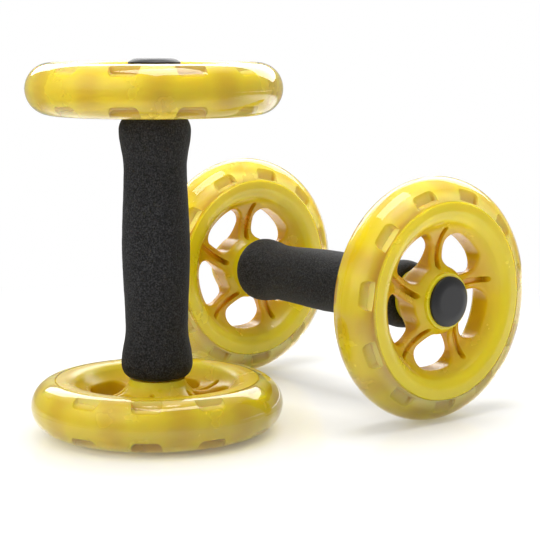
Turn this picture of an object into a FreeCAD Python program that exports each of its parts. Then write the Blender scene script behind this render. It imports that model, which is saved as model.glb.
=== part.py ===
import FreeCAD, Part
import math
import os

os.makedirs("parts", exist_ok=True)

# A pair of hand rollers for floor exercise, one for each hand. Each roller has a foam grip on a steel
# tube and a spoked wheel at each end that spins freely on two ball bearings. Sizes are in millimetres,
# with +Z up. One roller stands on the hub cap of a wheel with its axle along +Z, and the other rests
# on its two treads with its axle along +X. The origin is under the middle of the pair, on the surface
# that both rest on. A roller is drawn with its axle along Z, and a wheel with its outer side up.

# Roller and the pair
wheel_diameter = 140.0
wheel_width = 28.0
wheel_spacing = 174.0          # between the middles of a roller's two wheels
axle_spread = 138.0            # between the two rollers' axles, along Y
standing_offset = 11.0         # of the standing roller's axle along X

# Clear tyre, cast round the core
tyre_cover = 5.5               # over the core's rim, at the tread
tyre_lip = 0.8                 # flat part of the side, outside the core's flange
bond_gap = 0.04                # between the tyre and the core

# Wheel core: rim
rim_crown = 8.0                # of the round rim over the flange
notch_count = 11               # on each side of the rim
notch_width = 16.0
notch_depth = 5.5              # along the axle, from the foot of the flange's edge
notch_corner = 3.0
notch_step = 0.6               # of the notch's floor over the flange
flange_edge = 2.0              # height of the flange's outer edge
flange_bevel = 0.5
flange_land_share = 0.125      # of the web: flat ring, level with the tyre's side
flange_round_share = 0.16      # of the web: rounded ring inside the flat one
flange_drop = 3.0              # of the rounded ring into the dish

# Wheel core: dish, spokes and hub. The web runs from the hub to the flange's outer edge.
web_half_thickness = 3.0       # of the dish and the spokes at their thinnest
spoke_count = 5
spoke_width = 10.0
spoke_offset = 7.5             # of a spoke's middle line, to one side of the axle
spoke_fillet = 2.0
window_rim_share = 0.12        # of the web: dish outside the windows
window_hub_share = 0.085       # of the web: dish inside the windows
window_outer_corner_share = 0.187
window_inner_corner_share = 0.1
groove_width = 3.2
groove_web = 1.6               # thickness left between the grooves of the two faces
groove_fillet = 0.6
groove_mouth_fillet = 0.5
groove_hub = 1.6               # from the hub to the groove's inner end
groove_rim = 1.6               # from the window's outer side to the groove's outer end
hub_wall = 5.3                 # round the bearings
hub_shoulder = 3.5             # from the wheel's side down to the foot of the hub
hub_taper = 0.8
hub_fillet = 0.7

# Ball bearings, two in each wheel
bearing_bore = 8.0
bearing_outside = 22.0
bearing_width = 7.0
bearing_recess = 1.5           # of the inner bearing in the hub's inner face
ball_count = 7
ball_diameter = 3.969
ball_play = 0.04               # round each ball in its grooves
race_shoulder_share = 0.36     # of the ball's diameter, from the pitch circle to each race
cage_thickness = 1.6
cage_back = 0.7                # of the cage behind the balls
cage_reach = 0.8               # of the cage past the middle of the balls
cage_play = 0.08
shield_thickness = 0.35
shield_inset = 0.06
shield_gap = 0.36              # from the shield to the inner race
shield_seat = 0.5              # of the shield in the outer race
seat_lip = 1.8                 # of the hub's shoulder behind each outer race
fit_gap = 0.02                 # radial, between a race and its seat

# Axle bolt and washers
bolt_head_diameter = 14.0
bolt_head_height = 3.0
bolt_head_fillet = 0.8
bolt_socket = 5.0              # across the flats
bolt_socket_depth = 1.8
bolt_engagement = 18.0         # in the end plug, from the end of the tube
washer_diameter = 12.0
washer_thickness = 1.0
washer_gap = 0.1               # round the bolt

# Hub cap
cap_diameter = 28.6
cap_shell = 2.0
cap_proud = 2.2                # beyond the wheel's side
cap_round = 5.8                # rounded ring round the flat face
cap_crown = 1.9                # drop of the rounded ring
cap_rim = 1.5                  # height of the cap's edge
cap_fillet = 0.7
cap_head_gap = 0.5             # from the bolt's head
cap_skirt_wall = 1.5
cap_skirt_gap = 0.4            # from the skirt to the outer bearing
cap_fit = 0.03                 # radial, in the hub

# Foam grip
grip_gap = 1.3                 # from each wheel's side
grip_belly_diameter = 37.7
grip_neck_diameter = 34.8
grip_flare_diameter = 39.7
grip_neck_from_end = 27.0
grip_flare_from_end = 7.6
grip_end_round = 4.6
grip_fit = 0.05                # radial, on the tube

# Handle tube and its end plugs
tube_diameter = 25.0
tube_wall = 1.5
tube_inset = 1.7               # of the tube in the ends of the grip
plug_length = 22.0
plug_flange = 1.4
plug_fit = 0.05                # radial, in the tube
thread_gap = 0.05              # radial, round the bolt in the plug

# Ends of each roller: 1 is its upper end before it is laid down, and -1 the other end
roller_ends = {"standing": {"upper": 1, "lower": -1}, "rolling": {"near": 1, "far": -1}}

# Turn of each wheel about its axle, in degrees, and of the notches from the spokes
wheel_turns = {"standing_upper": 35.0, "standing_lower": 5.5, "rolling_near": 19.0, "rolling_far": 19.0}
notch_turn = 13.4

cut_overrun = 2.0

# Worked out from the sizes above
wheel_radius = wheel_diameter / 2
half_width = wheel_width / 2
half_spacing = wheel_spacing / 2
cap_face = half_width + cap_proud
roller_length = wheel_spacing + 2 * cap_face
rim_radius = wheel_radius - tyre_cover
flange_radius = rim_radius - rim_crown
rim_side = half_width - flange_edge
hub_radius = bearing_outside / 2 + hub_wall
hub_foot = half_width - hub_shoulder
web = flange_radius - hub_radius
flange_round = web * flange_round_share
land_radius = flange_radius - web * flange_land_share
dish_radius = land_radius - flange_round
window_outer_radius = dish_radius - web * window_rim_share
window_inner_radius = hub_radius + web * window_hub_share
window_outer_corner = web * window_outer_corner_share
window_inner_corner = web * window_inner_corner_share
pitch_radius = (bearing_outside + bearing_bore) / 4
ball_radius = ball_diameter / 2
race_shoulder = ball_diameter * race_shoulder_share
shield_radius = pitch_radius + race_shoulder + shield_seat
bolt_seat = cap_face - cap_shell - cap_head_gap - bolt_head_height
outer_bearing_top = bolt_seat - washer_thickness
inner_bearing_foot = bearing_recess - half_width
spacer_foot = inner_bearing_foot + bearing_width
spacer_top = outer_bearing_top - bearing_width
cap_seat = cap_face - cap_crown - cap_rim
grip_half_length = half_spacing - half_width - grip_gap
tube_half_length = grip_half_length - tube_inset
tube_end = tube_half_length - half_spacing     # from the middle of a wheel
bolt_radius = bearing_bore / 2 - fit_gap

Vector = FreeCAD.Vector
origin = Vector()
axle = Vector(0, 0, 1)


def cylinder(radius, foot, top):
    return Part.makeCylinder(radius, top - foot, Vector(0, 0, foot), axle)


def ring(outer_radius, inner_radius, foot, top):
    hole = cylinder(inner_radius, foot - cut_overrun, top + cut_overrun)
    return cylinder(outer_radius, foot, top).cut(hole)


def line(start, end):
    return Part.LineSegment(Vector(start[0], 0, start[1]), Vector(end[0], 0, end[1])).toShape()


def arc(start, middle, end):
    return Part.Arc(*[Vector(radius, 0, height) for radius, height in (start, middle, end)]).toShape()


def polyline(points):
    return [line(start, end) for start, end in zip(points, points[1:])]


def revolve(edges):
    """Turn a closed outline of radius and height round the axle."""
    return Part.Face(Part.Wire(edges)).revolve(origin, axle, 360)


def turned(shape, angle):
    copy = shape.copy()
    copy.rotate(origin, axle, angle)
    return copy


def flipped(shape):
    copy = shape.copy()
    copy.rotate(origin, Vector(1, 0, 0), 180)
    return copy


def raised(shape, height):
    copy = shape.copy()
    copy.translate(Vector(0, 0, height))
    return copy


def turned_copies(shape, count, first_turn=0.0):
    return [turned(shape, first_turn + index * 360 / count) for index in range(count)]


def at_polar(radius, angle, height):
    return Vector(radius * math.cos(angle), radius * math.sin(angle), height)


def middle_of(edge):
    return edge.valueAt((edge.FirstParameter + edge.LastParameter) / 2)


def distance_from_axle(point):
    return math.hypot(point.x, point.y)


def circles(shape, radius, height):
    """Round edges of a shape at a radius from the axle, at a height above or below its middle plane."""
    rounds = [edge for edge in shape.Edges if edge.Closed and abs(edge.BoundBox.XMax - radius) < fit_gap]
    return [edge for edge in rounds if abs(abs(middle_of(edge).z) - height) < fit_gap]


def edges_left_by(tools, shape, lowest=0.0):
    """Edges that cuts left on the faces of a shape, further from its middle plane than a height."""
    faces = Part.makeCompound([face for tool in tools for face in tool.Faces])
    found = []
    for edge in shape.Edges:
        middle = middle_of(edge)
        upright = edge.BoundBox.XLength + edge.BoundBox.YLength < bond_gap
        touching = faces.distToShape(Part.Vertex(middle))[0] < fit_gap
        if abs(middle.z) > lowest and touching and not upright:
            found.append(edge)
    return found


def notch(growth):
    """One pocket in the side of the core's rim, beside the flange, that keys the tyre to it."""
    half = notch_width / 2 - growth
    floor = flange_radius + notch_step + growth
    foot = rim_side - notch_depth + growth
    corner = Vector(floor, -half, foot)
    reach = rim_radius - floor + cut_overrun
    block = Part.makeBox(reach, 2 * half, half_width - foot + cut_overrun, corner)
    along = [edge for edge in block.Edges if edge.BoundBox.YLength + edge.BoundBox.ZLength < fit_gap]
    foot_edges = [edge for edge in along if middle_of(edge).z < half_width]
    return block.makeFillet(notch_corner - growth, foot_edges)


def rim(growth=0.0, bevel=0.0, overrun=0.0):
    """The round rim of the core that the tyre is cast round, or the room for it in the tyre."""
    side = half_width + overrun
    edge = flange_radius + growth
    foot = rim_side + growth
    flange = [(edge, foot)]
    if bevel:
        flange.append((edge, side - bevel))
    flange += [(edge - bevel, side), (land_radius, side)]
    mirrored = [(radius, -height) for radius, height in reversed(flange)]
    crown = arc((edge, -foot), (rim_radius + growth, 0), (edge, foot))
    ring_edges = [*polyline(mirrored), crown, *polyline(flange), line(flange[-1], mirrored[0])]
    pocket = notch(growth)
    upper = turned_copies(pocket, notch_count, notch_turn)
    lower = turned_copies(flipped(pocket), notch_count, notch_turn)
    return revolve(ring_edges).cut(upper + lower)


def tyre():
    """A clear ring with a full round tread and a flat lip on each side."""
    lip_radius = flange_radius + tyre_lip
    section = [
        line((land_radius, -half_width), (lip_radius, -half_width)),
        arc((lip_radius, -half_width), (wheel_radius, 0), (lip_radius, half_width)),
        line((lip_radius, half_width), (land_radius, half_width)),
        line((land_radius, half_width), (land_radius, -half_width)),
    ]
    return revolve(section).cut(rim(growth=bond_gap, overrun=cut_overrun))


def crown_drop(reach, drop, place):
    """How far a round that starts level has dropped at a place, if it drops so far over its reach."""
    radius = (reach ** 2 + drop ** 2) / (2 * drop)
    return radius - math.sqrt(radius ** 2 - place ** 2)


def dish(side):
    """The outline of one face of the core, from the flat of its flange in to the foot of the hub."""
    dish_edge = half_width - flange_drop
    round_middle = land_radius - flange_round / 2
    round_height = half_width - crown_drop(flange_round, flange_drop, flange_round / 2)
    pole_height = (8 * web_half_thickness - dish_edge - hub_foot) / 6
    pole_step = (dish_radius - hub_radius) / 4
    poles = [(dish_radius, dish_edge), (dish_radius - pole_step, pole_height),
             (hub_radius + pole_step, pole_height), (hub_radius, hub_foot)]
    hollow = Part.BezierCurve()
    hollow.setPoles([Vector(radius, 0, side * height) for radius, height in poles])
    flange_heights = [side * height for height in (half_width, round_height, dish_edge)]
    flange = arc(*zip((land_radius, round_middle, dish_radius), flange_heights))
    return [flange, hollow.toShape()]


def window(hand):
    """One opening between two spokes, right through the core. Each spoke passes the axle on one side."""

    def corner(turn, side, radius, end_radius, centre_radius):
        """Where a rounded corner leaves the spoke's side, its middle, and where it meets the end arc."""
        along = at_polar(1, turn, 0)
        across = at_polar(1, turn + math.pi / 2, 0)
        flank = spoke_offset + side * spoke_width / 2
        offset = flank + side * radius
        run = math.sqrt(centre_radius ** 2 - offset ** 2)
        centre = along * run + across * offset
        on_side = along * run + across * flank
        on_end = centre * (end_radius / centre_radius)
        outward = (on_side - centre) + (on_end - centre)
        return on_side, centre + outward.normalize() * radius, on_end

    def corners(radius, end_radius, centre_radius):
        turns = ((0, 1), (2 * math.pi / spoke_count, -1))
        first, last = [corner(turn, side, radius, end_radius, centre_radius) for turn, side in turns]
        end_middle = (first[2] + last[2]).normalize() * end_radius
        points = (*first, end_middle, *last[::-1])
        return [Vector(point.x, hand * point.y, -half_width) for point in points]

    outer = corners(window_outer_corner, window_outer_radius, window_outer_radius - window_outer_corner)
    inner = corners(window_inner_corner, window_inner_radius, window_inner_radius + window_inner_corner)
    outline = [Part.LineSegment(inner[end], outer[end]).toShape() for end in (0, -1)]
    for points in (outer, inner):
        outline += [Part.Arc(*points[first:first + 3]).toShape() for first in (0, 2, 4)]
    return Part.Face(Part.Wire(Part.__sortEdges__(outline))).extrude(Vector(0, 0, wheel_width))


def groove(hand, face):
    """The hollow along the middle of one spoke, along X, open on one face of the core."""
    half = groove_width / 2
    middle = hand * spoke_offset
    foot = face * groove_web / 2
    start = math.sqrt((hub_radius + groove_hub + half) ** 2 - spoke_offset ** 2)
    end = math.sqrt((window_outer_radius + groove_rim - half) ** 2 - spoke_offset ** 2)
    corners = [Vector(along, middle + across, foot) for along, across in
               ((start, -half), (end, -half), (end, half), (start, half))]
    outline = [
        Part.LineSegment(corners[0], corners[1]).toShape(),
        Part.Arc(corners[1], Vector(end + half, middle, foot), corners[2]).toShape(),
        Part.LineSegment(corners[2], corners[3]).toShape(),
        Part.Arc(corners[3], Vector(start - half, middle, foot), corners[0]).toShape(),
    ]
    slot = Part.Face(Part.Wire(outline)).extrude(Vector(0, 0, face * half_width - foot))
    foot_edges = [edge for edge in slot.Edges if abs(middle_of(edge).z - foot) < fit_gap]
    return slot.makeFillet(groove_fillet, foot_edges)


def wheel_core(hand):
    """A rim, spokes and hub moulded in one piece, right or left handed, with two bearing seats."""
    section = [
        line((0, -half_width), (hub_radius - hub_taper, -half_width)),
        line((hub_radius - hub_taper, -half_width), (hub_radius, -hub_foot)),
        *dish(-1)[::-1],
        line((land_radius, -half_width), (land_radius, half_width)),
        *dish(1),
        line((hub_radius, hub_foot), (hub_radius, cap_seat)),
        line((hub_radius, cap_seat), (0, cap_seat)),
        line((0, cap_seat), (0, -half_width)),
    ]
    window_middle = (window_inner_radius + window_outer_radius) / 2
    window_turn = 180 / spoke_count + math.degrees(math.asin(spoke_offset / window_middle))
    core = turned(revolve(section), hand * window_turn)
    hub_edges = circles(core, hub_radius, hub_foot) + circles(core, hub_radius, cap_seat)
    core = core.makeFillet(hub_fillet, hub_edges)
    grooves = turned_copies(groove(hand, 1), spoke_count) + turned_copies(groove(hand, -1), spoke_count)
    core = core.cut(grooves)
    groove_floor = groove_web / 2 + groove_fillet
    core = core.makeFillet(groove_mouth_fillet, edges_left_by(grooves, core, groove_floor + bond_gap))
    windows = turned_copies(window(hand), spoke_count)
    core = core.cut(windows)
    core = core.makeFillet(spoke_fillet, edges_left_by(windows, core))
    core = core.fuse(rim(bevel=flange_bevel)).removeSplitter()
    seat = bearing_outside / 2 + fit_gap
    inner_seat = cylinder(seat, -half_width - cut_overrun, spacer_foot)
    outer_seat = cylinder(seat, spacer_top, half_width)
    return core.cut([inner_seat, outer_seat, cylinder(seat - seat_lip, -half_width, half_width)])


def hub_cap():
    """A cap with a flat face and a rounded edge, whose skirt pushes into the outer bearing's seat."""
    cap_radius = cap_diameter / 2
    skirt_radius = bearing_outside / 2 + fit_gap - cap_fit
    room_radius = skirt_radius - cap_skirt_wall
    room_top = cap_face - cap_shell
    edge_top = cap_seat + cap_rim
    flat_radius = cap_radius - cap_round
    round_middle = cap_radius - cap_round / 2
    round_height = cap_face - crown_drop(cap_round, cap_crown, cap_round / 2)
    skirt_foot = outer_bearing_top + cap_skirt_gap
    section = [
        line((0, room_top), (room_radius, room_top)),
        line((room_radius, room_top), (room_radius, skirt_foot)),
        line((room_radius, skirt_foot), (skirt_radius, skirt_foot)),
        line((skirt_radius, skirt_foot), (skirt_radius, cap_seat)),
        line((skirt_radius, cap_seat), (cap_radius, cap_seat)),
        line((cap_radius, cap_seat), (cap_radius, edge_top)),
        arc((cap_radius, edge_top), (round_middle, round_height), (flat_radius, cap_face)),
        line((flat_radius, cap_face), (0, cap_face)),
        line((0, cap_face), (0, room_top)),
    ]
    cap = revolve(section)
    return cap.makeFillet(cap_fillet, circles(cap, cap_radius, edge_top))


def at_bearings(shape):
    """A piece drawn round the middle of a bearing, in both bearings of a wheel."""
    middles = (inner_bearing_foot + bearing_width / 2, outer_bearing_top - bearing_width / 2)
    solids = [solid for middle in middles for solid in raised(shape, middle).Solids]
    return Part.makeCompound(solids)


def ball_track():
    return Part.makeTorus(pitch_radius, ball_radius + ball_play)


def ball_set(radius):
    ball = Part.makeSphere(radius, Vector(pitch_radius, 0, 0))
    return turned_copies(ball, ball_count)


def bearing_outer_races():
    half = bearing_width / 2
    race = ring(bearing_outside / 2, pitch_radius + race_shoulder, -half, half).cut(ball_track())
    step = half - shield_inset - shield_thickness
    steps = cylinder(shield_radius + fit_gap, step, half + cut_overrun)
    return at_bearings(race.cut([steps, flipped(steps)]))


def bearing_inner_races():
    half = bearing_width / 2
    race = ring(pitch_radius - race_shoulder, bearing_bore / 2, -half, half)
    return at_bearings(race.cut(ball_track()))


def bearing_balls():
    return at_bearings(Part.makeCompound(ball_set(ball_radius)))


def ball_cages():
    """A crown cage: a ring behind the balls with a pocket round each of them."""
    pocket_radius = ball_radius + cage_play
    band = ring(pitch_radius + cage_thickness / 2, pitch_radius - cage_thickness / 2,
                -pocket_radius - cage_back, cage_reach)
    return at_bearings(band.cut(ball_set(pocket_radius)))


def bearing_shields():
    top = bearing_width / 2 - shield_inset
    shield = ring(shield_radius, pitch_radius - race_shoulder + shield_gap, top - shield_thickness, top)
    return at_bearings(Part.makeCompound([shield, flipped(shield)]))


def bolt_ring(foot, top):
    return ring(washer_diameter / 2, bolt_radius + washer_gap, foot, top)


def bearing_spacer():
    return bolt_ring(spacer_foot, spacer_top)


def bolt_washer():
    return bolt_ring(outer_bearing_top, bolt_seat)


def thrust_washer():
    return bolt_ring(inner_bearing_foot - washer_thickness, inner_bearing_foot)


def axle_bolt():
    """A bolt with a thin round head and a hexagon socket, through both bearings into the end plug."""
    head_top = bolt_seat + bolt_head_height
    head = cylinder(bolt_head_diameter / 2, bolt_seat, head_top)
    head = head.makeFillet(bolt_head_fillet, circles(head, bolt_head_diameter / 2, head_top))
    socket_foot = head_top - bolt_socket_depth
    corner_radius = bolt_socket / math.sqrt(3)
    corners = [at_polar(corner_radius, index * math.pi / 3, socket_foot) for index in range(7)]
    socket = Part.Face(Part.makePolygon(corners)).extrude(Vector(0, 0, bolt_socket_depth + cut_overrun))
    shank = cylinder(bolt_radius, tube_end - bolt_engagement, bolt_seat)
    return head.cut(socket).fuse(shank).removeSplitter()


def end_plug():
    """A plug in the end of the handle tube, with a flange on the tube's end and a boss to the washer."""
    flange_top = tube_end + plug_flange
    plug = cylinder(tube_diameter / 2 - tube_wall - plug_fit, tube_end - plug_length, tube_end)
    plug = plug.fuse([cylinder(tube_diameter / 2, tube_end, flange_top),
                      cylinder(washer_diameter / 2, flange_top, inner_bearing_foot - washer_thickness)])
    hole = cylinder(bolt_radius + thread_gap, tube_end - plug_length - cut_overrun, 0)
    return plug.cut(hole).removeSplitter()


def handle_tube():
    return ring(tube_diameter / 2, tube_diameter / 2 - tube_wall, -tube_half_length, tube_half_length)


def foam_grip():
    """A turned foam sleeve: full at its middle, drawn in at two necks and flared at its ends."""
    bore = tube_diameter / 2 + grip_fit
    end = grip_half_length
    flare = (grip_flare_diameter / 2, end - grip_flare_from_end)
    neck = (grip_neck_diameter / 2, end - grip_neck_from_end)
    half_outline = [neck, flare, (flare[0] - grip_end_round, end)]
    mirrored = [(radius, -height) for radius, height in reversed(half_outline)]
    outline = mirrored + [(grip_belly_diameter / 2, 0)] + half_outline
    points = [Vector(radius, 0, height) for radius, height in outline]
    along = [Vector(1, 0, 0)] + [axle] * (len(points) - 2) + [Vector(-1, 0, 0)]
    curve = Part.BSplineCurve()
    curve.interpolate(Points=points, Tangents=along, TangentFlags=[True] * len(points))
    inside = polyline([outline[-1], (bore, end), (bore, -end), outline[0]])
    return revolve([curve.toShape(), *inside])


def at_end(shape, end):
    """A piece drawn on a wheel, moved to the upper or the lower end of a roller."""
    return raised(shape, half_spacing) if end > 0 else raised(flipped(shape), -half_spacing)


def in_place(shape, roller):
    """A piece drawn on a roller, moved to where that roller stands or lies."""
    copy = shape.copy()
    if roller == "standing":
        copy.translate(Vector(standing_offset, -axle_spread / 2, roller_length / 2))
    else:
        copy.rotate(origin, Vector(0, 1, 0), 90)
        copy.translate(Vector(0, axle_spread / 2, wheel_radius))
    return copy


handle_pieces = {"handle_tube": handle_tube(), "foam_grip": foam_grip()}
wheel_pieces = {
    "end_plug": end_plug(),
    "thrust_washer": thrust_washer(),
    "bearing_inner_races": bearing_inner_races(),
    "bearing_spacer": bearing_spacer(),
    "bearing_balls": bearing_balls(),
    "ball_cages": ball_cages(),
    "bearing_outer_races": bearing_outer_races(),
    "bearing_shields": bearing_shields(),
    "tyre": tyre(),
    "bolt_washer": bolt_washer(),
    "axle_bolt": axle_bolt(),
    "hub_cap": hub_cap(),
}

cores = {end: wheel_core(end) for end in (1, -1)}

for roller, ends in roller_ends.items():
    for name, shape in handle_pieces.items():
        in_place(shape, roller).exportStep(f"parts/{roller}_{name}.step")
    for end_name, end in ends.items():
        turn = end * wheel_turns[f"{roller}_{end_name}"]
        for name, shape in {**wheel_pieces, "wheel_core": cores[end]}.items():
            placed = in_place(at_end(turned(shape, turn), end), roller)
            placed.exportStep(f"parts/{roller}_{end_name}_{name}.step")
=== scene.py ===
import math

import bmesh
import bpy
from mathutils import Euler, Matrix, Vector, noise


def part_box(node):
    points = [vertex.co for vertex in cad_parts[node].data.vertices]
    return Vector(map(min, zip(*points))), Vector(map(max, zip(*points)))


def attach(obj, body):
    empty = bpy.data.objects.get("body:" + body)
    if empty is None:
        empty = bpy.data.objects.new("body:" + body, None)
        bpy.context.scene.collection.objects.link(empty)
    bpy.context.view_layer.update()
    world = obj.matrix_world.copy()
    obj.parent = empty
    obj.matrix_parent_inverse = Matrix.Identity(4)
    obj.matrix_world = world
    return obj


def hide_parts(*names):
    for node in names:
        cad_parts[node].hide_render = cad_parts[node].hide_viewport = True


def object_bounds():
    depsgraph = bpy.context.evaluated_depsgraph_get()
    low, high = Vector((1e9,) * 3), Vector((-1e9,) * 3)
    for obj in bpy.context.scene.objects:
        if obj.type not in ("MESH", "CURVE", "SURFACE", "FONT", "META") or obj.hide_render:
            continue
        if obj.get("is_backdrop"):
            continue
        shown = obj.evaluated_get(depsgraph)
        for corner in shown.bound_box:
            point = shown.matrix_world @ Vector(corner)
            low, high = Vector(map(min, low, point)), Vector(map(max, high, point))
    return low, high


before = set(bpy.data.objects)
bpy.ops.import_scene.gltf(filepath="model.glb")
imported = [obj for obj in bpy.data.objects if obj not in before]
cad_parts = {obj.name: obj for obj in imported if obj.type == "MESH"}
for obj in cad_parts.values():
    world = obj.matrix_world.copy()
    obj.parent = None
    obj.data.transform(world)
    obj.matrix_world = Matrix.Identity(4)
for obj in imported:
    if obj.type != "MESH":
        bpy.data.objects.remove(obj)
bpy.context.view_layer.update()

# A pair of hand rollers for floor exercise. One stands on the hub cap of a wheel, and the other lies on its
# two treads. Each has a foam grip on a steel tube, and a wheel at each end that spins on two ball bearings.

# Handle tubes: drawn steel tube, one in each grip, cut square at both ends.
# The foam hides all but the ends, where the plugs' flanges close it.
MM = 0.001


def linear(code):
    """An sRGB hex colour as linear red, green, blue and alpha."""
    parts = [int(code[first:first + 2], 16) / 255 for first in (1, 3, 5)]
    return tuple(c / 12.92 if c <= 0.04045 else ((c + 0.055) / 1.055) ** 2.4 for c in parts) + (1.0,)


def add(tree, kind, sockets=None, **settings):
    """Adds a node with its settings, and sets or links its sockets."""
    made = tree.nodes.new(kind)
    for name, value in settings.items():
        setattr(made, name, value)
    for name, value in (sockets or {}).items():
        if isinstance(value, bpy.types.NodeSocket):
            tree.links.new(value, made.inputs[name])
        else:
            made.inputs[name].default_value = value
    return made


def new_material(name):
    """A material with an empty node tree."""
    material = bpy.data.materials.new(name)
    material.use_nodes = True
    material.node_tree.nodes.clear()
    return material, material.node_tree


def marked_metal(name, mark_width, detail, roughness, colours):
    """A bare metal whose colour and shine vary a little with the marks of its making."""
    material, tree = new_material(name)
    place = add(tree, "ShaderNodeTexCoord").outputs["Object"]
    marks = add(tree, "ShaderNodeTexNoise", {"Vector": place, "Scale": 1 / mark_width, "Detail": detail})
    shine = add(tree, "ShaderNodeMapRange", {
        "Value": marks.outputs["Fac"], "To Min": roughness[0], "To Max": roughness[1]})
    # Sockets 0, 6 and 7 of a colour mix are the share and its two colours. Output 2 is the colour between.
    colour = add(tree, "ShaderNodeMix", {
        0: marks.outputs["Fac"], 6: linear(colours[0]), 7: linear(colours[1])}, data_type="RGBA")
    skin = add(tree, "ShaderNodeBsdfPrincipled", {
        "Base Color": colour.outputs[2], "Metallic": 1.0, "Roughness": shine.outputs["Result"]})
    add(tree, "ShaderNodeOutputMaterial", {"Surface": skin.outputs[0]})
    return material


def dress(kind, material):
    """Gives every CAD node of one kind a material."""
    for name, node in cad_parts.items():
        if name.endswith(kind):
            node.data.materials.clear()
            node.data.materials.append(material)


# Drawn mild steel: a grey metal with fine scratches from the die, about 0.8 mm apart.
drawn_steel = marked_metal("drawn_mild_steel", 0.8 * MM, 3.0, (0.28, 0.46), ("#8A8C8F", "#A4A6A8"))
dress("handle_tube", drawn_steel)

# End plugs and bearing spacers: turned from aluminium bar. A plug is pushed into each end of the tube, and
# the axle bolt screws into it. A spacer keeps the two bearings of a wheel apart.
# Turned aluminium: pale silver, with tool marks about 0.5 mm apart that soften its shine.
turned_aluminium = marked_metal("turned_aluminium", 0.5 * MM, 2.0, (0.24, 0.4), ("#B4B6B8", "#CACCCE"))
dress("end_plug", turned_aluminium)
dress("bearing_spacer", turned_aluminium)

# Foam grips: sleeves of black closed-cell foam, ground to a contour and pushed over the tube.
# They are full at the middle, drawn in at two necks and flared towards the wheels.
ROLLERS = ["standing", "rolling"]
grip_half = 71.7 * MM
grip_bore = 12.56 * MM
grip_belly = 18.85 * MM
grip_neck = 17.4 * MM
grip_flare = 19.85 * MM
grip_end = 15.3 * MM
neck_place = grip_half - 27 * MM
flare_place = grip_half - 7.6 * MM
bore_flare, bore_bevel = 1.2 * MM, 0.8 * MM
broad_wave, broad_depth = 5 * MM, 0.10 * MM
fine_wave, fine_depth = 1.6 * MM, 0.05 * MM
skin_sink = 0.1 * MM


def lathe(name, outline, steps):
    """A closed mesh turned round Z from a closed outline of radius and height."""
    mesh = bmesh.new()
    rings = []
    for step in range(steps):
        angle = 2 * math.pi * step / steps
        across, aside = math.cos(angle), math.sin(angle)
        rings.append([mesh.verts.new((radius * across, radius * aside, height)) for radius, height in outline])
    for ring, following in zip(rings, rings[1:] + rings[:1]):
        for index in range(len(outline)):
            after = (index + 1) % len(outline)
            mesh.faces.new((ring[index], following[index], following[after], ring[after]))
    bmesh.ops.recalc_face_normals(mesh, faces=mesh.faces)
    data = bpy.data.meshes.new(name)
    mesh.to_mesh(data)
    mesh.free()
    data.shade_smooth()
    data.set_sharp_from_angle(angle=math.radians(38))
    piece = bpy.data.objects.new(name, data)
    bpy.context.scene.collection.objects.link(piece)
    return piece


def seat(piece, node, roller):
    """Puts a piece drawn round Z in the middle of a CAD node, along its roller's axle."""
    low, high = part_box(node)
    turn = Euler((0, math.radians(90) if roller == "rolling" else 0, 0)).to_matrix().to_4x4()
    piece.data.transform(Matrix.Translation((low + high) / 2) @ turn)


def eased(share):
    """A share that starts and ends gently."""
    return share * share * (3 - 2 * share)


def grip_radius(height):
    """The grip's radius at a height from its middle."""
    height = abs(height)
    if height < neck_place:
        return grip_belly + (grip_neck - grip_belly) * eased(height / neck_place)
    if height < flare_place:
        share = (height - neck_place) / (flare_place - neck_place)
        return grip_neck + (grip_flare - grip_neck) * eased(share)
    share = min((height - flare_place) / (grip_half - flare_place), 1.0)
    return grip_end + (grip_flare - grip_end) * math.sqrt(1 - share * share)


grip_rows = 150
heights = [grip_half * math.sin(math.pi / 2 * (2 * row / grip_rows - 1)) for row in range(grip_rows + 1)]
grip_outline = [(grip_radius(height), height) for height in heights]
grip_outline += [(grip_bore + bore_flare, grip_half), (grip_bore, grip_half - bore_bevel), (grip_bore, 0.0),
                 (grip_bore, bore_bevel - grip_half), (grip_bore + bore_flare, -grip_half)]

# NBR foam, ground with an abrasive belt: a dull near-black skin broken by cut cells about 0.3 mm across,
# which catch the light as a fine speckle. The cells are drawn at 0.7 mm so that they show.
cell_width, cell_depth = 0.7 * MM, 0.25 * MM
grit_width = 0.9 * MM
ground_foam, tree = new_material("ground_nbr_foam")
place = add(tree, "ShaderNodeTexCoord").outputs["Object"]
cells = add(tree, "ShaderNodeTexVoronoi", {"Vector": place, "Scale": 1 / cell_width})
grit = add(tree, "ShaderNodeTexNoise", {
    "Vector": place, "Scale": 1 / grit_width, "Detail": 4.0, "Roughness": 0.65})
speckle = add(tree, "ShaderNodeMapRange", {"Value": grit.outputs["Fac"], "From Min": 0.42, "From Max": 0.7})
colour = add(tree, "ShaderNodeMix", {
    0: speckle.outputs["Result"], 6: linear("#050506"), 7: linear("#3A3A3C")}, data_type="RGBA")
bump = add(tree, "ShaderNodeBump", {
    "Height": cells.outputs["Distance"], "Strength": 0.5, "Distance": cell_depth})
rough = add(tree, "ShaderNodeMapRange", {"Value": grit.outputs["Fac"], "To Min": 0.62, "To Max": 0.88})
skin = add(tree, "ShaderNodeBsdfPrincipled", {
    "Base Color": colour.outputs[2], "Roughness": rough.outputs["Result"], "Normal": bump.outputs["Normal"],
    "Specular IOR Level": 0.3})
add(tree, "ShaderNodeOutputMaterial", {"Surface": skin.outputs[0]})

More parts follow.
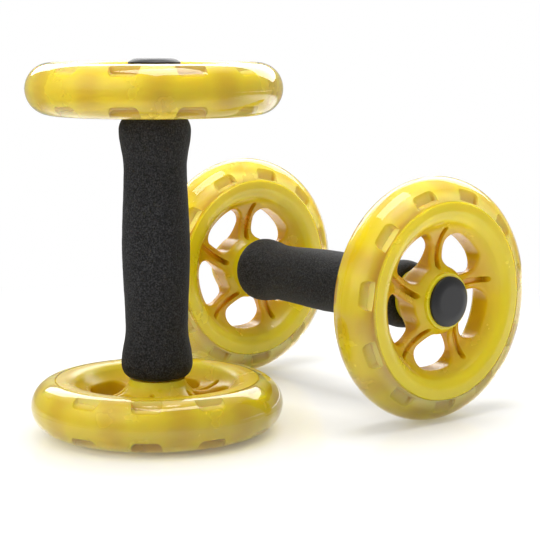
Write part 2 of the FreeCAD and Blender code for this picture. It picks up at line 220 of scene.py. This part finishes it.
for roller in ROLLERS:
    grip = lathe(f"{roller}_grip_sleeve", grip_outline, 144)
    for vertex in grip.data.vertices:
        outward = Vector((vertex.co.x, vertex.co.y, 0))
        if outward.length > grip_bore + 2 * MM:
            waviness = noise.noise(vertex.co / broad_wave) * broad_depth
            waviness += noise.noise(vertex.co / fine_wave) * fine_depth
            vertex.co += outward.normalized() * (waviness - skin_sink)
    grip.data.materials.append(ground_foam)
    seat(grip, f"{roller}_foam_grip", roller)
    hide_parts(f"{roller}_foam_grip")
    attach(grip, f"{roller}_handle")

# Ball bearings: two in each wheel, with steel races and balls, and a cage that keeps the balls apart.
# The outer races sit in the hub, and the inner ones are clamped on the axle bolt.
# Bearing steel, ground and honed: bright, with stone marks too fine to count, drawn 0.4 mm apart.
ground_steel = marked_metal("ground_bearing_steel", 0.4 * MM, 2.0, (0.1, 0.22), ("#B9BBBD", "#CDCFD1"))
for kind in ("bearing_inner_races", "bearing_outer_races", "bearing_balls"):
    dress(kind, ground_steel)

# Natural nylon, moulded: ivory and waxy, with faint clouds about 2 mm across.
cloud_width = 2 * MM
moulded_nylon, tree = new_material("moulded_natural_nylon")
place = add(tree, "ShaderNodeTexCoord").outputs["Object"]
cloud = add(tree, "ShaderNodeTexNoise", {"Vector": place, "Scale": 1 / cloud_width, "Detail": 3.0})
colour = add(tree, "ShaderNodeMix", {
    0: cloud.outputs["Fac"], 6: linear("#D6D0BC"), 7: linear("#E2DDCB")}, data_type="RGBA")
skin = add(tree, "ShaderNodeBsdfPrincipled", {
    "Base Color": colour.outputs[2], "Roughness": 0.45,
    "Subsurface Weight": 0.2, "Subsurface Radius": (0.8, 0.7, 0.5), "Subsurface Scale": MM})
add(tree, "ShaderNodeOutputMaterial", {"Surface": skin.outputs[0]})
dress("ball_cages", moulded_nylon)

# Bearing shields, washers and axle bolts: steel. The shields are pressed into the outer races. Each bolt
# goes through both bearings of a wheel and draws them against the end plug.
# Bright zinc plate: a bluish silver, with soft patches about 1.2 mm across.
zinc_plate = marked_metal("zinc_plated_steel", 1.2 * MM, 4.0, (0.22, 0.42), ("#A9ABAD", "#C4C6CA"))
for kind in ("bearing_shields", "thrust_washer", "bolt_washer", "axle_bolt"):
    dress(kind, zinc_plate)

# Wheel cores: one moulding each, with a round notched rim, a dished web, five spokes and a hub. The spokes
# have a groove down the middle of each face, and pass the axle on one side. The hub turns on the bearings.
WHEELS = ["standing_upper", "standing_lower", "rolling_near", "rolling_far"]
dish_top, dish_floor = 12 * MM, 2.5 * MM
dish_edge, dish_inside = 52 * MM, 47 * MM
rim_foot, rim_start = 56.6 * MM, 57 * MM
notch_top, notch_floor = 62 * MM, 58 * MM
notch_count = 11
notch_turns = {"standing_upper": 48.4, "standing_lower": -7.9, "rolling_near": 32.4, "rolling_far": 5.6}
tread_edge, tread_middle = 11 * MM, 8 * MM

# Nylon tinted yellow in the mass and left translucent. Light goes some millimetres in, red furthest.
# The flange and rim are lemon yellow. Painted shade makes the hollows of the dish amber, and the edges and
# groove walls seen aslant nearly orange. Painted light makes the thin floors of the notches pale when seen
# aslant.
# Painted shade makes the thick rim between the notches a deeper amber.
light_depth = 7 * MM
flow_length = 18 * MM
peel_width, peel_depth = 2.2 * MM, 0.12 * MM
for wheel in WHEELS:
    tinted_nylon, tree = new_material(f"moulded_yellow_nylon_{wheel}")
    place = add(tree, "ShaderNodeTexCoord").outputs["Object"]
    low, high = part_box(f"{wheel}_wheel_core")
    laid_down = wheel.startswith("rolling")
    axle = Vector((1, 0, 0)) if laid_down else Vector((0, 0, 1))
    across = Vector((0, 0, -1)) if laid_down else Vector((1, 0, 0))
    aside = Vector((0, 1, 0))

    # How far a point is from the wheel's middle plane and from its axle, and the turn to it round the axle
    from_middle = add(tree, "ShaderNodeVectorMath", {0: place, 1: (low + high) / 2}, operation="SUBTRACT")
    along, right, ahead = [add(tree, "ShaderNodeVectorMath", {
        0: from_middle.outputs[0], 1: way}, operation="DOT_PRODUCT") for way in (axle, across, aside)]
    height = add(tree, "ShaderNodeMath", {0: along.outputs["Value"]}, operation="ABSOLUTE")
    beside = add(tree, "ShaderNodeVectorMath", {0: from_middle.outputs[0], 1: axle}, operation="CROSS_PRODUCT")
    radius = add(tree, "ShaderNodeVectorMath", {0: beside.outputs[0]}, operation="LENGTH")
    turn = add(tree, "ShaderNodeMath", {
        0: ahead.outputs["Value"], 1: right.outputs["Value"]}, operation="ARCTAN2")

    # The hollow of the dish, painted amber as painted shade
    deep = add(tree, "ShaderNodeMapRange", {
        "Value": height.outputs[0], "From Min": dish_top, "From Max": dish_floor})
    within = add(tree, "ShaderNodeMapRange", {
        "Value": radius.outputs["Value"], "From Min": dish_edge, "From Max": dish_inside})
    painted_dish_shade = add(tree, "ShaderNodeMath", {
        0: deep.outputs["Result"], 1: within.outputs["Result"]}, operation="MULTIPLY")

    # The floors of the notches in the rim, painted pale as painted light
    outside = add(tree, "ShaderNodeMapRange", {
        "Value": radius.outputs["Value"], "From Min": rim_foot, "From Max": rim_start})
    below = add(tree, "ShaderNodeMapRange", {
        "Value": radius.outputs["Value"], "From Min": notch_top, "From Max": notch_floor, "To Max": 0.75})
    painted_notch_light = add(tree, "ShaderNodeMath", {
        0: outside.outputs["Result"], 1: below.outputs["Result"]}, operation="MULTIPLY")

    # The bands of the rim between one notch and the next, painted a deeper amber as painted shade
    pitches = add(tree, "ShaderNodeMath", {
        0: turn.outputs[0], 1: notch_count, 2: -notch_count * math.radians(notch_turns[wheel])},
        operation="MULTIPLY_ADD")
    wave = add(tree, "ShaderNodeMath", {0: pitches.outputs[0]}, operation="COSINE")
    between = add(tree, "ShaderNodeMapRange", {
        "Value": wave.outputs[0], "From Min": 0.0, "From Max": -0.95, "To Max": 0.35})
    on_tread = add(tree, "ShaderNodeMapRange", {
        "Value": height.outputs[0], "From Min": tread_edge, "From Max": tread_middle})
    painted_rim_shade = add(tree, "ShaderNodeMath", {
        0: between.outputs["Result"], 1: on_tread.outputs["Result"]}, operation="MULTIPLY")
    painted_rim_shade = add(tree, "ShaderNodeMath", {
        0: painted_rim_shade.outputs[0], 1: outside.outputs["Result"]}, operation="MULTIPLY")

    flow = add(tree, "ShaderNodeTexNoise", {
        "Vector": place, "Scale": 1 / flow_length, "Detail": 3.0, "Roughness": 0.55})
    peel = add(tree, "ShaderNodeTexNoise", {"Vector": place, "Scale": 1 / peel_width, "Detail": 2.0})
    bump = add(tree, "ShaderNodeBump", {"Height": peel.outputs["Fac"], "Strength": 0.1, "Distance": peel_depth})
    rough = add(tree, "ShaderNodeMapRange", {"Value": flow.outputs["Fac"], "To Min": 0.2, "To Max": 0.32})
    facing = add(tree, "ShaderNodeLayerWeight", {"Blend": 0.5}).outputs["Facing"]
    aslant = add(tree, "ShaderNodeMapRange", {"Value": facing, "From Min": 0.02, "From Max": 0.2})
    # Painted shade: surfaces seen aslant are mixed towards orange.
    painted_edge_shade = add(tree, "ShaderNodeMapRange", {"Value": facing, "From Min": 0.5, "To Max": 0.5})
    lemon = add(tree, "ShaderNodeMix", {
        0: flow.outputs["Fac"], 6: linear("#DEC808"), 7: linear("#EAD812")}, data_type="RGBA")
    # Painted light on the notch floors: pale when seen aslant, amber when seen square.
    notch_light_colour = add(tree, "ShaderNodeMix", {
        0: aslant.outputs["Result"], 6: linear("#C8920A"), 7: linear("#FFF6A8")}, data_type="RGBA")
    colour = lemon.outputs[2]
    # Each mask mixes in its painted shade or painted light over the lemon yellow.
    for share, painted_tone in ((painted_dish_shade.outputs[0], linear("#DBAC0A")), (painted_rim_shade.outputs[0], linear("#BE8C08")),
                          (painted_notch_light.outputs[0], notch_light_colour.outputs[2]), (painted_edge_shade.outputs["Result"], linear("#CF8E08"))):
        colour = add(tree, "ShaderNodeMix", {0: share, 6: colour, 7: painted_tone}, data_type="RGBA").outputs[2]
    skin = add(tree, "ShaderNodeBsdfPrincipled", {
        "Base Color": colour, "Roughness": rough.outputs["Result"], "IOR": 1.53,
        "Normal": bump.outputs["Normal"], "Transmission Weight": 0.25,
        "Subsurface Weight": 0.7, "Subsurface Radius": (1.0, 0.7, 0.08), "Subsurface Scale": light_depth})
    add(tree, "ShaderNodeOutputMaterial", {"Surface": skin.outputs[0]})
    dress(f"{wheel}_wheel_core", tinted_nylon)

# Tyres: clear polyurethane, cast round the notched rim of each core, with a full round tread.
# The mould's two halves leave a fine line round the middle of the tread.
tyre_radius = 69.97 * MM
tyre_half = 14 * MM
tyre_lip = 57.3 * MM
flange_radius = 56.5 * MM
parting_height = 0.08 * MM
parting_half = 0.35 * MM
tread_radius = tyre_radius - parting_height
tread_drop = tread_radius - tyre_lip
tread_round = (tyre_half ** 2 + tread_drop ** 2) / (2 * tread_drop)
tread_turn = math.asin(tyre_half / tread_round)
tread_rows = 72
tyre_outline = []
for row in range(tread_rows + 1):
    turn = tread_turn * (2 * row / tread_rows - 1)
    tyre_outline.append((tread_radius - tread_round * (1 - math.cos(turn)), tread_round * math.sin(turn)))
parting_line = [(tread_radius, -parting_half), (tyre_radius, -parting_half / 3),
                (tyre_radius, parting_half / 3), (tread_radius, parting_half)]
middle = [index for index, (radius, height) in enumerate(tyre_outline) if abs(height) < parting_half]
tyre_outline[middle[0]:middle[-1] + 1] = parting_line

# The tyre's inner face, out from the flange's edge and down from the tyre's side. It runs in under the
# flange, so that no gap shows between the two.
inner_face = [(0.1 * MM, 0.0), (0.0, 0.5 * MM), (-1.5 * MM, 1.2 * MM), (-2.5 * MM, 3 * MM)]
tyre_outline += [(flange_radius + out, tyre_half - down) for out, down in inner_face]
tyre_outline += [(flange_radius + out, down - tyre_half) for out, down in reversed(inner_face)]

# Cast polyurethane, water clear with a faint straw tint that deepens with thickness. The polished mould
# gives a wet gloss, with ripples about 9 mm long. It passes the lamps on to the core, as the real one does.
ripple_length, ripple_depth = 9 * MM, 0.4 * MM
cast_urethane, tree = new_material("cast_clear_polyurethane")
place = add(tree, "ShaderNodeTexCoord").outputs["Object"]
ripple = add(tree, "ShaderNodeTexNoise", {"Vector": place, "Scale": 1 / ripple_length, "Detail": 1.0})
bump = add(tree, "ShaderNodeBump", {
    "Height": ripple.outputs["Fac"], "Strength": 0.08, "Distance": ripple_depth})
skin = add(tree, "ShaderNodeBsdfPrincipled", {
    "Base Color": linear("#FFFDF0"), "Roughness": 0.03, "IOR": 1.49, "Transmission Weight": 1.0,
    "Normal": bump.outputs["Normal"]})
clear = add(tree, "ShaderNodeBsdfTransparent", {"Color": linear("#FBF7DC")})
path = add(tree, "ShaderNodeLightPath")
shown = add(tree, "ShaderNodeMixShader", {
    "Fac": path.outputs["Is Shadow Ray"], 1: skin.outputs[0], 2: clear.outputs[0]})
tint = add(tree, "ShaderNodeVolumeAbsorption", {"Color": linear("#F6E58C"), "Density": 3.0})
add(tree, "ShaderNodeOutputMaterial", {"Surface": shown.outputs[0], "Volume": tint.outputs[0]})

for wheel in WHEELS:
    tyre = lathe(f"{wheel}_cast_tyre", tyre_outline, 216)
    tyre.data.materials.append(cast_urethane)
    seat(tyre, f"{wheel}_tyre", wheel.split("_")[0])
    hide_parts(f"{wheel}_tyre")
    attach(tyre, f"{wheel}_wheel")

# Hub caps: moulded in black plastic, with a rounded edge and a skirt that is pushed into the hub.
# Each covers the head of an axle bolt, and one roller stands on the lowest of them.
# Black ABS from a spark-eroded mould: dull, with an even grain of 0.3 mm, drawn at 0.6 mm so that it shows.
grain_width, grain_depth = 0.6 * MM, 0.12 * MM
textured_abs, tree = new_material("textured_black_abs")
place = add(tree, "ShaderNodeTexCoord").outputs["Object"]
grain = add(tree, "ShaderNodeTexNoise", {
    "Vector": place, "Scale": 1 / grain_width, "Detail": 3.0, "Roughness": 0.6})
colour = add(tree, "ShaderNodeMix", {
    0: grain.outputs["Fac"], 6: linear("#0C0C0E"), 7: linear("#1C1C1F")}, data_type="RGBA")
bump = add(tree, "ShaderNodeBump", {"Height": grain.outputs["Fac"], "Strength": 0.35, "Distance": grain_depth})
rough = add(tree, "ShaderNodeMapRange", {"Value": grain.outputs["Fac"], "To Min": 0.38, "To Max": 0.58})
skin = add(tree, "ShaderNodeBsdfPrincipled", {
    "Base Color": colour.outputs[2], "Roughness": rough.outputs["Result"], "Normal": bump.outputs["Normal"]})
add(tree, "ShaderNodeOutputMaterial", {"Surface": skin.outputs[0]})
dress("hub_cap", textured_abs)

# Studio: a pale floor that runs into a white surround, with soft boxes overhead, in front and behind.
# Near the rollers the floor keeps their shadows and a faint reflection. Further off it is plain white.
floor_reach = 12.0
shadow_end, white_start = 0.22, 0.5
mottle_width = 125 * MM

# The part of the floor that the tyres' sides mirror. It glows up to three times white, seen in
# reflections only: a painted reflection.
glow_place = (0.1, 0.6, 0.0)
glow_end, glow_start = 0.55, 0.25

# Satin board: even and nearly white, with a faint mottle.
pale_floor, tree = new_material("pale_studio_floor")
place = add(tree, "ShaderNodeTexCoord").outputs["Object"]
mottle = add(tree, "ShaderNodeTexNoise", {"Vector": place, "Scale": 1 / mottle_width, "Detail": 2.0})
colour = add(tree, "ShaderNodeMix", {
    0: mottle.outputs["Fac"], 6: linear("#F3F3F3"), 7: linear("#F5F5F5")}, data_type="RGBA")
skin = add(tree, "ShaderNodeBsdfPrincipled", {
    "Base Color": colour.outputs[2], "Roughness": 0.12, "Specular IOR Level": 0.35})
distance = add(tree, "ShaderNodeVectorMath", {0: place}, operation="LENGTH")
fade = add(tree, "ShaderNodeMapRange", {
    "Value": distance.outputs["Value"], "From Min": shadow_end, "From Max": white_start, "To Min": 0.1},
    interpolation_type="SMOOTHSTEP")
path = add(tree, "ShaderNodeLightPath")
seen = add(tree, "ShaderNodeMath", {0: 1.0, 1: path.outputs["Is Diffuse Ray"]}, operation="SUBTRACT")
plain = add(tree, "ShaderNodeMath", {0: seen.outputs[0], 1: fade.outputs["Result"]}, operation="MULTIPLY")
to_reflection_glow = add(tree, "ShaderNodeVectorMath", {0: place, 1: glow_place}, operation="DISTANCE")
reflection_glow = add(tree, "ShaderNodeMapRange", {
    "Value": to_reflection_glow.outputs["Value"], "From Min": glow_end, "From Max": glow_start,
    "To Min": 0.4, "To Max": 3.0})
# Painted reflection: for glossy rays the floor glows, brightest at the patch.
level = add(tree, "ShaderNodeMix", {0: path.outputs["Is Glossy Ray"], 2: 1.0, 3: reflection_glow.outputs["Result"]})
white = add(tree, "ShaderNodeEmission", {"Color": (1, 1, 1, 1), "Strength": level.outputs[0]})
both = add(tree, "ShaderNodeMixShader", {"Fac": plain.outputs[0], 1: skin.outputs[0], 2: white.outputs[0]})
add(tree, "ShaderNodeOutputMaterial", {"Surface": both.outputs[0]})

corners = [(x * floor_reach, y * floor_reach, 0) for x, y in ((-1, -1), (1, -1), (1, 1), (-1, 1))]
floor_mesh = bpy.data.meshes.new("floor")
floor_mesh.from_pydata(corners, [], [(0, 1, 2, 3)])
floor = bpy.data.objects.new("floor", floor_mesh)
floor.data.materials.append(pale_floor)
bpy.context.scene.collection.objects.link(floor)
floor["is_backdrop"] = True

world = bpy.data.worlds.new("white_surround")
bpy.context.scene.world = world
world.use_nodes = True
tree = world.node_tree
tree.nodes.clear()
path = add(tree, "ShaderNodeLightPath")
seen = add(tree, "ShaderNodeMath", {
    0: path.outputs["Is Camera Ray"], 1: path.outputs["Is Transmission Ray"]}, operation="MAXIMUM")
fill = add(tree, "ShaderNodeMapRange", {"Value": seen.outputs[0], "To Min": 0.7, "To Max": 1.0})
level = add(tree, "ShaderNodeMix", {0: path.outputs["Is Glossy Ray"], 2: fill.outputs["Result"], 3: 0.4})
surround = add(tree, "ShaderNodeBackground", {"Color": (1, 1, 1, 1), "Strength": level.outputs[0]})
add(tree, "ShaderNodeOutputWorld", {"Surface": surround.outputs[0]})

pair_middle = Vector((0.0, 0.0, 0.1))


def soft_light(name, place, size, power, mirrored=True):
    """A soft box that shines on the middle of the pair. Its own image can be kept out of reflections."""
    lamp = bpy.data.lights.new(name, "AREA")
    lamp.shape = "RECTANGLE"
    lamp.size, lamp.size_y = size
    lamp.energy = power
    holder = bpy.data.objects.new(name, lamp)
    holder.visible_glossy = mirrored
    holder.location = place
    holder.rotation_euler = (pair_middle - Vector(place)).to_track_quat("-Z", "Y").to_euler()
    bpy.context.scene.collection.objects.link(holder)


soft_light("overhead_box", (0.05, 0.0, 0.95), (0.5, 0.5), 5.5)
soft_light("front_fill", (0.0, -1.15, 0.75), (1.6, 1.0), 11.0, mirrored=False)
soft_light("back_box", (-0.75, 0.75, 0.75), (2.0, 0.6), 16.0)

camera = bpy.data.objects.new("camera", bpy.data.cameras.new("camera"))
camera_turn = math.radians(50.79)
camera_tilt = math.radians(8.206)
camera.location = (0.73805, -0.58123, 0.21855)
camera.rotation_euler = (math.pi / 2 - camera_tilt, 0, camera_turn)
camera.data.lens = 108.359
camera.data.sensor_width = 36
bpy.context.scene.collection.objects.link(camera)
bpy.context.scene.camera = camera
bpy.context.scene.view_settings.view_transform = "Standard"

low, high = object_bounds()
